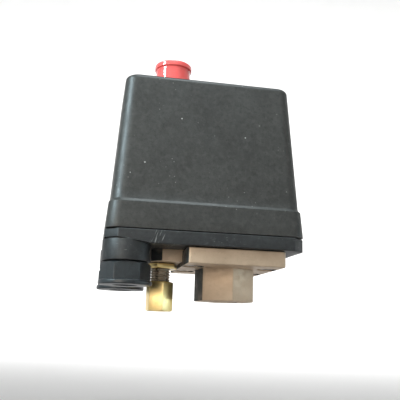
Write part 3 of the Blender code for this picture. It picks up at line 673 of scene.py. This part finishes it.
def wall(z):
    """The cover side's inset at a height: (x, y)."""
    if z <= BAND1:
        t = 0.9 * (z - BAND0) / (BAND1 - BAND0)
        return t, t
    t = (z - BAND1) / (TOP - BAND1)
    return 1.7 + 3.7 * t, 1.7 + 5.0 * t


def cover_outside():
    s = []
    for z, extra in ((BAND0, 0.32), (BAND0 + 0.06, 0.14), (BAND0 + 0.16, 0.05), (BAND0 + 0.32, 0.0), (33.0, 0.0), (37.0, 0.0)):
        w = wall(z)
        s.append(cover_ring(z, w[0] + extra, w[1] + extra, 6.0 - extra))
    r = 0.35
    w = wall(BAND1 - r)
    for k in range(5):
        q = math.radians(55) * k / 4
        z = BAND1 - r + r * math.sin(q)
        e = r * (1 - math.cos(q))
        s.append(cover_ring(z, w[0] + e, w[1] + e, 6.0 - e))
    e = 1.7 - w[0]
    s.append(cover_ring(BAND1 + 0.78, w[0] + e - 0.10, w[1] + e - 0.10, 6.0))
    s.append(cover_ring(BAND1 + 1.0, w[0] + e - 0.02, w[1] + e - 0.02, 6.0))
    s.append(cover_ring(BAND1 + 1.3, wall(BAND1 + 1.3)[0], wall(BAND1 + 1.3)[1], 6.0))
    for z in (45.0, 55.0, 65.0, 75.0, 85.0, 93.0):
        w = wall(z)
        s.append(cover_ring(z, w[0], w[1], 6.0))
    r = 2.4
    w = wall(TOP - r)
    for k in range(9):
        a = math.pi / 2 * k / 8
        s.append(cover_ring(TOP - r + r * math.sin(a), w[0] + r * (1 - math.cos(a)), w[1] + r * (1 - math.cos(a)), 6.0 - 0.75 * r * (1 - math.cos(a))))
    w2 = (w[0] + r, w[1] + r)
    s.append(cover_ring(TOP + 0.0, w2[0] + 1.2, w2[1] + 1.2, 3.4))
    return s


cover = loft("cover_shell", cover_outside(), COVER_MAT, 24)
W = 2.2
inner = []
for z, e in ((BAND0 - 2, 0), (BAND1 - 1.0, 0), (BAND1 + 1.2, 0), (70.0, 0), (TOP - W - 2.0, 0), (TOP - W - 1.2, 0.2), (TOP - W - 0.4, 0.8), (TOP - W, 1.8)):
    w = wall(max(z, BAND0))
    inner.append(cover_ring(z, w[0] + W + e, w[1] + W + e, 3.8, 8))
cut(cover, loft("cover_inside", inner))
join(cover, rod("boss", 7.0, (84.8, TOP - 1.0), POST, 56))
cut(
    cover,
    lathe("well", [(0, TOP + 1), (6.2, TOP + 1), (5.35, TOP + 0.0), (4.98, TOP - 0.3), (4.9, TOP - 0.8), (4.9, 92.5), (2.4, 92.5), (2.4, 80), (0, 80)], POST, 56),
    lathe("hole", [(0, TOP + 1), (10.0, TOP + 1), (9.15, TOP), (8.86, TOP - 0.25), (8.8, TOP - 0.7), (8.8, TOP - 6), (0, TOP - 6)], KNOB, 96),
)
cover.data.materials.clear()
cover.data.materials.append(COVER_MAT)
smooth(cover.data, 24)
put(cover, "cover", "cover")
machine_screw("cover_screw_fine", "cover_screw", "cover_screw", POST, 4.15, (92.8, 96.0), 1.95, 72.1, SCREW_MAT)

# ---- knob -------------------------------------------------------------------------------
knob = lathe(
    "knob_fine",
    [(0, 115.22), (5.6, 115.25), (6.8, 115.36), (7.6, 115.5)] + arc(KNOB[0] * 0 + 8.25, 114.6, 0.9, 90, 0, 8) + [(9.15, 113.4)] + arc(8.75, 113.2, 0.4, 0, -90, 4)
    + [(8.62, 112.78), (8.42, 112.6), (8.4, 112.3), (8.4, 100.0), (8.4, 98.45), (8.2, 98.25), (6.8, 98.25), (6.65, 98.5), (6.6, 109.6), (6.2, 110.0), (4.8, 110.0), (4.4, 109.6), (4.4, 99.4), (4.2, 99.2), (2.75, 99.2), (2.55, 99.4), (2.55, 108.4), (0, 108.4)],
    KNOB, 128, RED_MAT,
)
put(knob, "knob", "knob")
put(lathe("knob_rod_fine", [(0, 108.0), (1.9, 108.0), (2.2, 107.7), (2.2, 50.0), (1.9, 49.6), (1.5, 49.3), (0, 49.3)], KNOB, 40, STEEL_MAT), "knob", "knob_rod")
put(lathe("knob_retainer_fine", [(10.2, 97.6), (10.2, 96.75), (9.95, 96.5), (2.7, 96.5), (2.5, 96.7), (2.5, 97.7), (2.7, 97.9), (9.9, 97.9)], KNOB, 72, PLATED_MAT, closed=True), "knob", "knob_retainer")

# ---- base -------------------------------------------------------------------------------
C = 5.5
base_poly = [(XL + C, -YH), (XR - C, -YH), (XR, -YH + C), (XR, YH - C), (XR - C, YH), (XL + C, YH), (XL, YH - C), (XL, -YH + C)]
base = slab("base_fine", base_poly, (22.0, 27.8), 0.7, 0.4, BASE_MAT, 4, 4)
pocket_poly = inset_poly(base_poly, 2.6)
# the underside rises towards the two gland corners, and a shallow neck parts each boss from the plate
cut(base, *[lathe("rise%d" % k, [(0, 24.2), (5.0, 24.2), (20.0, 22.05), (21.5, 21.0), (0, 21.0)], (XL, k * YH), 72) for k in (-1, 1)])
bosses = [
    lathe("boss_" + n, [(0, 24.9), (10.0, 24.9), (10.0, 23.75)] + arc(10.3, 23.35, 0.3, 90, 0, 3) + [(10.6, 15.0)] + arc(10.2, 15.0, 0.4, 0, -90, 4) + [(0, 14.6)], at, 96)
    for n, at in GLANDS.items()
]
join(base, *bosses)
tools = [
    slab("pocket", pocket_poly, (25.4, 30.0), 1.2, 0.4, None, 4, 2),
    rod("c1", 11.0, (21, 28), (0, 0), 64),
    rod("c2", 5.1, (21, 28), VALVE, 40),
    rod("c9", 2.0, (22.8, 28), (-34.0, 13.5), 24),
    slab("lug_room", [(-20.1, 12.4), (-30.9, 12.4), (-38.9, 5.1), (-38.9, -5.1), (-30.9, -12.4), (-20.1, -12.4)], (21.0, 24.4), 1.2, 0.2, None, 3, 2),
]
for i, at in enumerate(FLANGE_SCREWS):
    tools.append(rod("c3%d" % i, 2.8, (21, 28), at, 28))
for n, at in GLANDS.items():
    tools.append(lathe("c4" + n, [(0, 28), (6.5, 28), (6.5, 15.2), (6.9, 14.6), (7.5, 13.6), (0, 13.6)], at, 56))
for s in (-1, 1):
    tools.append(lathe("c5%d" % s, [(0, 28), (2.0, 28), (2.0, 24.2), (3.6, 24.2), (3.6, 22.3), (4.0, 21.9), (4.0, 21), (0, 21)], (-44.5, s * 5.0), 32))
cut(base, *tools)
base.data.materials.clear()
base.data.materials.append(BASE_MAT)
put(base, "base_assembly", "base")

# ---- cable glands -----------------------------------------------------------------------
for n, at in GLANDS.items():
    nut = hex_solid("gland_nut_fine_" + n, 10.9, (6.0, 14.3), at, 0, GLAND_MAT, (0, 1), 0.22)
    rim = lathe("rim", [(0, 6.9), (10.3, 6.75), (11.0, 6.6)] + arc(11.15, 6.2, 0.35, 90, 0, 4) + [(11.5, 5.2)] + arc(11.0, 5.2, 0.5, 0, -90, 5) + [(0, 4.7)], at, 96)
    spigot = threaded("spigot", 6.15, 1.5, (13.3, 18.4), at, 0.5, 56, 10)
    join(nut, rim, spigot)
    cut(nut, lathe("bore", [(0, 20), (4.6, 20), (4.6, 5.9), (4.75, 5.5), (5.6, 4.7), (6.2, 3.9), (0, 3.9)], at, 56))
    nut.data.materials.clear()
    nut.data.materials.append(GLAND_MAT)
    smooth(nut.data, 30)
    put(nut, "base_assembly", "gland_nut_" + n)
    put(
        lathe("gland_seal_fine_" + n, arc(5.65, 21.2, 0.5, 0, 90, 4) + arc(4.7, 21.2, 0.5, 90, 180, 4) + arc(4.7, 19.2, 0.5, 180, 270, 4) + arc(5.65, 19.2, 0.5, 270, 360, 4), at, 64, RUBBER_MAT, closed=True),
        "base_assembly", "gland_seal_" + n,
    )

# ---- flange -----------------------------------------------------------------------------
flange = slab("flange_fine", [(-22, -27), (22, -27), (22, 27), (-22, 27)], (14.7, 21.7), 1.6, 0.55, ZINC_MAT, 6, 4)
lug = slab("lug", [(-20.5, 12.0), (-30.8, 12.0), (-38.5, 5.0), (-38.5, -5.0), (-30.8, -12.0), (-20.5, -12.0)], (16.6, 24.0), [0.3, 1.0, 1.0, 1.0, 1.0, 0.3], 0.45, None, 4, 3)
hexport = hex_solid("hexport", 24.8 / math.sqrt(3), (0.0, 16.0), (0, 0), -25.5, ZINC_MAT, (0, 0), 0.45)
join(flange, lug, hexport)
tools = [
    threaded("port_thread", 5.35, 1.34, (-0.4, 12.0), (0, 0), 0.5, 72, 10, ends=0.3, inside=True),
    lathe("mouth", [(0, 1.4), (5.4, 1.0), (6.66, 0.0), (7.7, -1.0), (0, -1.0)], (0, 0), 72),
    rod("channel", 3.0, (11.0, 19.2), (0, 0), 40),
    rod("chamber", 13.2, (18.2, 22.7), (0, 0), 72),
    rod("lugbore", 5.1, (13.7, 25.0), VALVE, 48),
]
for i, at in enumerate(FLANGE_SCREWS):
    tools.append(lathe("sink%d" % i, [(0, 22.7), (2.8, 22.7), (2.8, 18.1), (4.6, 18.1), (4.6, 15.0), (4.9, 14.65), (4.9, 13.7), (0, 13.7)], at, 40))
cut(flange, *tools)
flange.data.materials.clear()
flange.data.materials.append(ZINC_MAT)
smooth(flange.data, 30)
put(flange, "base_assembly", "flange_port")
for i, at in enumerate(FLANGE_SCREWS):
    s = lathe("flange_screw_fine_%d" % (i + 1), [(0, 17.0), (2.1, 17.0), (2.1, 18.12), (2.4, 18.12), (4.0, 18.12), (4.2, 17.9), (4.2, 15.7), (4.0, 15.35), (3.6, 15.2), (0, 15.2)], at, 48, SCREW_MAT)
    join(s, threaded("t", 2.4, 0.8, (17.5, 30.6), at, 0.4, 28, 7))
    cut(s, rod("key", 2.3, (14.0, 17.1), at, 6))
    s.data.materials.clear()
    s.data.materials.append(SCREW_MAT)
    put(s, "base_assembly", "flange_screw_%d" % (i + 1))
put(lathe("diaphragm_fine", [(0, 19.5), (6.8, 19.5), (7.6, 19.42), (8.4, 19.25), (9.6, 19.25), (10.4, 19.42), (11.2, 19.5), (12.7, 19.5), (12.9, 19.3), (12.9, 18.7), (12.7, 18.5), (11.2, 18.5), (10.4, 18.6), (9.6, 18.75), (8.4, 18.75), (7.6, 18.6), (6.8, 18.5), (0, 18.5)], (0, 0), 96, RUBBER_MAT), "base_assembly", "diaphragm")
put(lathe("piston_fine", [(0, 31.0), (2.8, 31.0), (3.6, 30.75), (4.0, 30.2), (4.0, 24.3), (4.4, 23.9), (10.1, 23.9), (10.4, 23.6), (10.4, 20.9), (10.1, 20.6), (7.0, 20.6), (6.7, 20.2), (6.3, 19.8), (0, 19.8)], (0, 0), 72, STEEL_MAT), "piston", "piston")

# ---- unloader valve ---------------------------------------------------------------------
valve = hex_solid("valve_body_fine", 8.1, (13.9, 16.1), VALVE, -107.5, BRASS_MAT, (1, 0), 0.12)
stem = threaded("stem", 4.68, 1.25, (2.6, 14.2), VALVE, 0.62, 72, 12, THREAD_MAT, 0.5)
tip = lathe("tip", [(0, 3.2), (4.1, 3.2), (4.1, 2.0), (3.6, 1.5), (0, 1.5)], VALVE, 56)
top = threaded("top", 4.68, 1.0, (15.8, 31.0), VALVE, 0.5, 56, 8, THREAD_MAT, 0.6)
join(valve, stem, tip, top)
cut(valve, lathe("seat", [(0, 32), (1.8, 32), (1.8, 9.0), (3.1, 8.0), (3.1, 2.1), (3.5, 1.4), (3.5, 1.0), (0, 1.0)], VALVE, 40))
smooth(valve.data, 34)
mesh = valve.data
mesh.materials.clear()
mesh.materials.append(BRASS_MAT)
mesh.materials.append(THREAD_MAT)
for p in mesh.polygons:
    c = p.center / MM
    d = math.hypot(c.x - VALVE[0], c.y - VALVE[1])
    p.material_index = 0 if (13.85 <= c.z <= 16.15 and d > 4.75) else 1
put(valve, "base_assembly", "valve_body", slot="brass")
nut = hex_solid("compression_nut_fine", 6.41, (-5.3, 8.1), VALVE, -82.0, BRASS_MAT, (1, 1), 0.14)
cut(
    nut,
    lathe("nutbore", [(0, 9.1), (5.6, 9.1), (5.4, 8.3), (5.0, 7.7), (5.0, -1.6), (3.15, -2.4), (3.15, -4.9), (3.6, -5.4), (3.6, -6.3), (0, -6.3)], VALVE, 56),
)
nut.data.materials.clear()
nut.data.materials.append(BRASS_MAT)
smooth(nut.data, 30)
put(nut, "base_assembly", "compression_nut")
put(lathe("tube_ferrule_fine", [(3.9, 1.15), (4.1, 0.7), (4.15, 0.2), (4.1, -0.3), (3.9, -0.8), (3.6, -1.2), (3.3, -1.2), (3.25, -1.1), (3.25, 1.05), (3.35, 1.15)], VALVE, 56, BRASS_MAT, closed=True), "base_assembly", "tube_ferrule")
nut = hex_solid("valve_nut_fine", 7.6, (27.6, 30.6), VALVE, 0, PLATED_MAT, (1, 1), 0.12)
cut(nut, rod("b", 5.0, (27, 31), VALVE, 48))
nut.data.materials.clear()
nut.data.materials.append(PLATED_MAT)
put(nut, "base_assembly", "valve_nut")
put(lathe("unloader_pin_fine", [(0, 44.7), (0.7, 44.7), (1.25, 44.5), (1.5, 44.1), (1.5, 41.2), (1.7, 41.0), (3.6, 41.0), (3.8, 40.8), (3.8, 40.2), (3.6, 40.0), (1.5, 40.0), (1.5, 14.6), (0.9, 13.8), (0, 13.8)], VALVE, 40, STEEL_MAT), "unloader_pin", "unloader_pin")

# ---- frame and levers -------------------------------------------------------------------
refine("frame", PLATED_MAT, "base_assembly", 0.3, 2)
refine("main_lever", PLATED_MAT, "main_lever", 0.25, 2)
refine("contact_carrier", CARRIER_MAT, "contact_carrier", 0.45, 2)
refine("terminal_block", BLOCK_MAT, "base_assembly", 0.35, 2)
for k in range(1, 5):
    refine("fixed_contact_%d" % k, CONTACT_MAT, "base_assembly", 0.22, 2)
for n in ("front", "rear"):
    refine("bridge_contact_" + n, CONTACT_MAT, "contact_carrier", 0.2, 2)
put(lie_along_y(lathe("lever_pin_fine", [(0, 20.4), (1.4, 20.4), (1.8, 20.0), (1.8, -20.0), (1.4, -20.4), (0, -20.4)], (0, 0), 40, STEEL_MAT), (20.0, 36.0)), "base_assembly", "lever_pin")
for n, s in (("front", -1), ("rear", 1)):
    a, b = sorted((-s * 10.6, -s * 20.4))
    put(lie_along_y(lathe("carrier_pin_fine_" + n, [(0, b), (1.2, b), (1.5, b - 0.3), (1.5, a + 0.3), (1.2, a), (0, a)], (0, 0), 36, STEEL_MAT), (0.0, 47.0)), "base_assembly", "carrier_pin_" + n)
post = hex_solid("cover_post_fine", 4.6, (62.3, 84.4), POST, 30, PLATED_MAT, (1, 1), 0.15)
cut(post, lathe("pt", [(0, 86), (3.0, 86), (3.0, 84.6), (2.3, 83.8), (2.3, 70), (0, 70)], POST, 36))
post.data.materials.clear()
post.data.materials.append(PLATED_MAT)
put(post, "base_assembly", "cover_post")

# ---- adjusters --------------------------------------------------------------------------
stud = threaded("range_stud_fine", 2.98, 1.0, (30.0, 84.0), RANGE, 0.5, 40, 7, SCREW_MAT, 0.6)
join(stud, hex_solid("foot", 4.0, (27.6, 30.2), RANGE, 0, SCREW_MAT, (0, 1), 0.1))
stud.data.materials.clear()
stud.data.materials.append(SCREW_MAT)
smooth(stud.data, 40)
put(stud, "base_assembly", "range_stud")
put(lathe("range_spring_seat_fine", [(10.4, 66.3), (10.6, 66.1), (10.6, 64.5), (10.4, 64.3), (3.6, 64.3), (3.4, 64.5), (3.4, 66.1), (3.6, 66.3), (6.0, 66.3), (6.3, 66.05), (9.2, 66.05), (9.5, 66.3)], RANGE, 72, PLATED_MAT, closed=True), "range_seat", "range_spring_seat")
nut = hex_solid("range_nut_fine", 7.5, (66.6, 72.6), RANGE, 15, PLATED_MAT, (1, 1), 0.15)
cut(nut, lathe("rb", [(0, 74), (4.2, 74), (4.0, 72.7), (3.3, 72.0), (3.3, 67.2), (4.0, 66.5), (4.2, 65), (0, 65)], RANGE, 40))
nut.data.materials.clear()
nut.data.materials.append(PLATED_MAT)
put(nut, "range_nut", "range_nut")
screw = hex_solid("differential_screw_fine", 3.9, (62.3, 65.6), DIFF, 0, SCREW_MAT, (0, 1), 0.12)
join(screw, threaded("dt", 1.98, 0.7, (36.6, 62.8), DIFF, 0.35, 28, 7))
cut(screw, box("ds", (DIFF[0] - 5, DIFF[0] + 5), (-0.45, 0.45), (64.4, 67), 0))
screw.data.materials.clear()
screw.data.materials.append(SCREW_MAT)
smooth(screw.data, 40)
put(screw, "differential_screw", "differential_screw")
put(lathe("differential_seat_fine", [(5.6, 55.4), (5.8, 55.2), (5.8, 54.2), (5.6, 54.0), (3.4, 54.0), (3.2, 53.8), (3.2, 53.1), (3.1, 53.0), (2.4, 53.0), (2.3, 53.1), (2.3, 55.3), (2.4, 55.4)], DIFF, 56, PLATED_MAT, closed=True), "differential_seat", "differential_seat")

# ---- springs ----------------------------------------------------------------------------
def stretched(piece, node):
    """A spring's piece, baked where it stands, in place of its CAD node."""
    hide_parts(node)
    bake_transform(piece)


def two_part_spring(node, radius, wire, z, turns, at):
    """The spring is made as two halves that meet at mid height."""
    stretched(coil(node + "_lower", radius, wire, z, turns, at, SPRING_MAT, part=(0.0, 0.5)), node)
    stretched(coil(node + "_upper", radius, wire, z, turns, at, SPRING_MAT, part=(0.5, 1.0)), node)


two_part_spring("range_spring", 8.4, 2.3, (33.6, 64.0), 6, RANGE)
two_part_spring("differential_spring", 4.2, 1.2, (33.6, 53.7), 6, DIFF)
for n, s in (("front", -1), ("rear", 1)):
    two_part_spring("toggle_spring_" + n, 1.9, 0.6, (33.6, 44.7), 7, (-20.0, s * 13.0))
stretched(coil("unloader_spring_fine", 3.0, 0.7, (31.3, 39.7), 5, VALVE, SPRING_MAT), "unloader_spring")

# ---- small screws -----------------------------------------------------------------------
machine_screw("earth_screw_fine", "earth_screw", "base_assembly", (-34.0, 13.5), 3.4, (27.6, 29.6), 1.7, 23.2, BRASS_MAT, 0.7, "slot")
for k, y in enumerate((-11.4, -3.8, 3.8, 11.4)):
    machine_screw("terminal_screw_fine_%d" % (k + 1), "terminal_screw_%d" % (k + 1), "base_assembly", (-45.6, y), 2.5, (53.1, 55.1), 1.6, 45.0, SCREW_MAT, 0.6, "cross")
for n, s in (("front", -1), ("rear", 1)):
    at = (-44.5, s * 5.0)
    b = lathe("block_screw_fine_" + n, [(0, 24.1), (1.4, 24.1), (1.4, 23.9), (3.1, 23.9), (3.3, 23.7), (3.3, 22.9), (3.0, 22.45), (2.3, 22.15), (0, 22.1)], at, 40, SCREW_MAT)
    join(b, threaded("bt", 1.68, 0.7, (23.5, 33.0), at, 0.35, 28, 7))
    cut(b, box("k1", (at[0] - 1.7, at[0] + 1.7), (at[1] - 0.35, at[1] + 0.35), (21, 23.0), 0), box("k2", (at[0] - 0.35, at[0] + 0.35), (at[1] - 1.7, at[1] + 1.7), (21, 23.0), 0))
    b.data.materials.clear()
    b.data.materials.append(SCREW_MAT)
    put(b, "base_assembly", "block_screw_" + n)

# =========================================================================================
# stage, lights, camera
# =========================================================================================
def stage_bowl():
    """A seamless pale floor that sweeps up all round."""
    m = Nodes("stage_pale", (0.86, 0.86, 0.85), 0.9)
    m.colour(m.mix(m.ramp(m.noise(3.0), 0.3, 0.7), (0.85, 0.85, 0.845), (0.88, 0.88, 0.875)))
    profile = [(0, -0.055), (0.9, -0.055)] + [(0.9 + 0.9 * math.sin(math.pi / 2 * k / 16), -0.055 + 0.9 * (1 - math.cos(math.pi / 2 * k / 16))) for k in range(1, 17)] + [(1.8, 2.2)]
    bm = bmesh.new()
    rings = []
    n = 96
    for r, z in profile:
        rings.append([bm.verts.new((0, 0, z))] if r == 0 else [bm.verts.new((r * math.cos(2 * math.pi * i / n), r * math.sin(2 * math.pi * i / n), z)) for i in range(n)])
    for a, b in zip(rings, rings[1:]):
        for i in range(n):
            j = (i + 1) % n
            if len(a) == 1:
                bm.faces.new((a[0], b[i], b[j]))
            else:
                bm.faces.new((a[j], a[i], b[i], b[j]))
    mesh = bpy.data.meshes.new("stage_floor")
    bm.to_mesh(mesh)
    bm.free()
    mesh.shade_smooth()
    mesh.materials.append(m.mat)
    obj = bpy.data.objects.new("stage_floor", mesh)
    SCENE.collection.objects.link(obj)
    return obj


FLAGS = bpy.data.collections.new("kept_off_the_stage")
FLAGS.objects.link(stage_bowl())
FLAGS.collection_objects[0].light_linking.link_state = "EXCLUDE"


def area(name, place, aim, size, power, colour=(1, 1, 1), flagged=False):
    """A soft box. A flagged one is kept off the stage, so that the floor doesn't throw it up under the switch."""
    light = bpy.data.lights.new(name, "AREA")
    light.shape, light.size, light.size_y = "RECTANGLE", size[0], size[1]
    light.energy, light.color = power, colour
    obj = bpy.data.objects.new(name, light)
    obj.location = place
    obj.rotation_mode = "QUATERNION"
    obj.rotation_quaternion = (Vector(aim) - Vector(place)).to_track_quat("-Z", "Y")
    SCENE.collection.objects.link(obj)
    if flagged:
        obj.light_linking.receiver_collection = FLAGS
    return obj


AIM = (-0.01, 0, 0.045)
area("front_warm", (-0.56, -0.86, 0.10), AIM, (0.55, 0.40), 3.65, (1.0, 0.88, 0.74), True)
area("left_strip", (-0.72, -0.30, 0.46), AIM, (0.14, 0.36), 8.6, (0.72, 0.92, 1.0), True)
area("right_cool", (0.95, -0.30, -0.01), AIM, (0.35, 0.06), 1.1, (0.66, 0.90, 1.0), True)
area("top_soft", (0.0, -0.20, 0.62), AIM, (0.30, 0.24), 2.5, (0.84, 0.96, 1.0), True)
area("backdrop_wash", (0.1, 0.60, 0.9), (0.35, 1.6, 0.10), (1.0, 0.5), 20.0)
area("room_wash", (0.0, -0.6, 1.3), (0.0, -1.8, 0.3), (0.9, 0.4), 5.0)

world = bpy.data.worlds.new("studio")
SCENE.world = world
world.use_nodes = True
world.node_tree.nodes["Background"].inputs[0].default_value = (0.93, 0.97, 1.0, 1)
world.node_tree.nodes["Background"].inputs[1].default_value = 0.15
SCENE.view_settings.view_transform = "Standard"

camera = bpy.data.cameras.new("main_camera")
camera.sensor_width = 36.0
camera.lens = 577.04 / 400 * 36
camera.clip_start, camera.clip_end = 0.01, 20
cam = bpy.data.objects.new("main_camera", camera)
right = Vector((0.982268, -0.185024, 0.030245))
up = Vector((-0.068364, -0.203272, 0.976733))
forward = Vector((0.174571, 0.961481, 0.212316))
turn = Matrix((right, up, -forward)).transposed().to_4x4()
cam.matrix_world = Matrix.Translation((-0.061225, -0.268408, -0.01103)) @ turn
SCENE.collection.objects.link(cam)
SCENE.camera = cam
